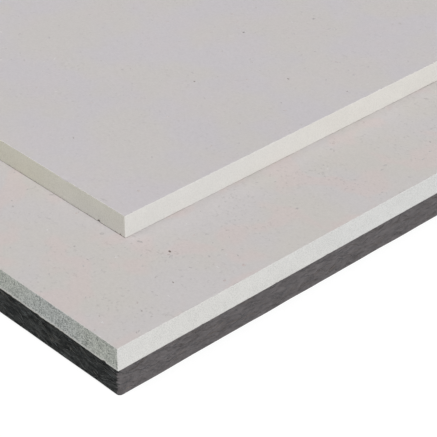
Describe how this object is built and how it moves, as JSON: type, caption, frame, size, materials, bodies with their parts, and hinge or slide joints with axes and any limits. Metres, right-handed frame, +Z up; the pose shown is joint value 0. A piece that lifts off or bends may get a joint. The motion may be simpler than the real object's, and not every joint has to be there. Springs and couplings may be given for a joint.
{
  "type": "gypsum fibre floor board",
  "caption": "Flat rectangular dry screed board: offset gypsum fibre sheets bonded on a dark grey felt underlay, with a stepped lap on every side that joins to its neighbours.",
  "frame": {"origin": "under the middle of the whole element, laps included, on the floor that the felt lies on", "axes": "+X along the length, towards the end where the lower board stands out; +Y across the width, towards the side where the upper board overhangs; +Z up, towards the walking face"},
  "size_m": [1.55, 0.547, 0.032],
  "materials": {
    "gypsum_fibre": "matte",
    "felt": "matte"
  },
  "bodies": {
    "root": {"upper_board": "gypsum_fibre", "lower_board": "gypsum_fibre", "felt_underlay": "felt"}
  },
  "joints": []
}
